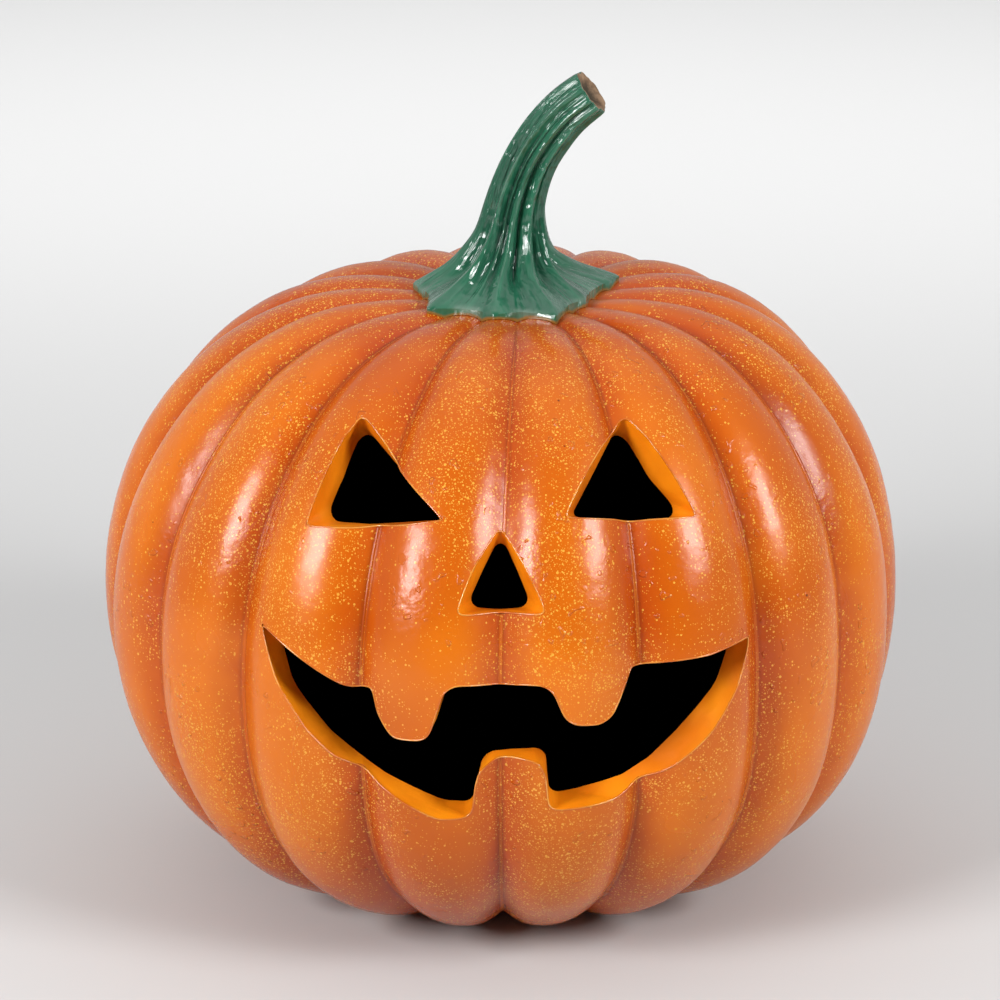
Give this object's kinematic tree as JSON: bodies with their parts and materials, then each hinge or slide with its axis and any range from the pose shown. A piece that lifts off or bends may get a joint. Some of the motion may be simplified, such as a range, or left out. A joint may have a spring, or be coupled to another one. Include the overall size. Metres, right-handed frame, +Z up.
{
  "type": "carved pumpkin lantern",
  "caption": "Hollow ribbed pumpkin ornament with triangular eyes and nose, a toothed smiling mouth, and a leaning ribbed stem.",
  "frame": {"origin": "on the floor, under the middle of the pumpkin's round body", "axes": "+Z up, the carved face towards -Y, +X to the right of someone looking at the face"},
  "size_m": [0.4992, 0.4935, 0.511],
  "materials": {
    "pumpkin_orange": "moulded resin, orange lacquer with fine yellow flecks, brown-red shading in the grooves, yellow-orange cut edges",
    "stem_green": "moulded resin, dark green lacquer, worn pale ridges, brown cut end"
  },
  "bodies": {
    "root": {"pumpkin_shell": "pumpkin_orange", "stem": "stem_green"}
  },
  "joints": []
}
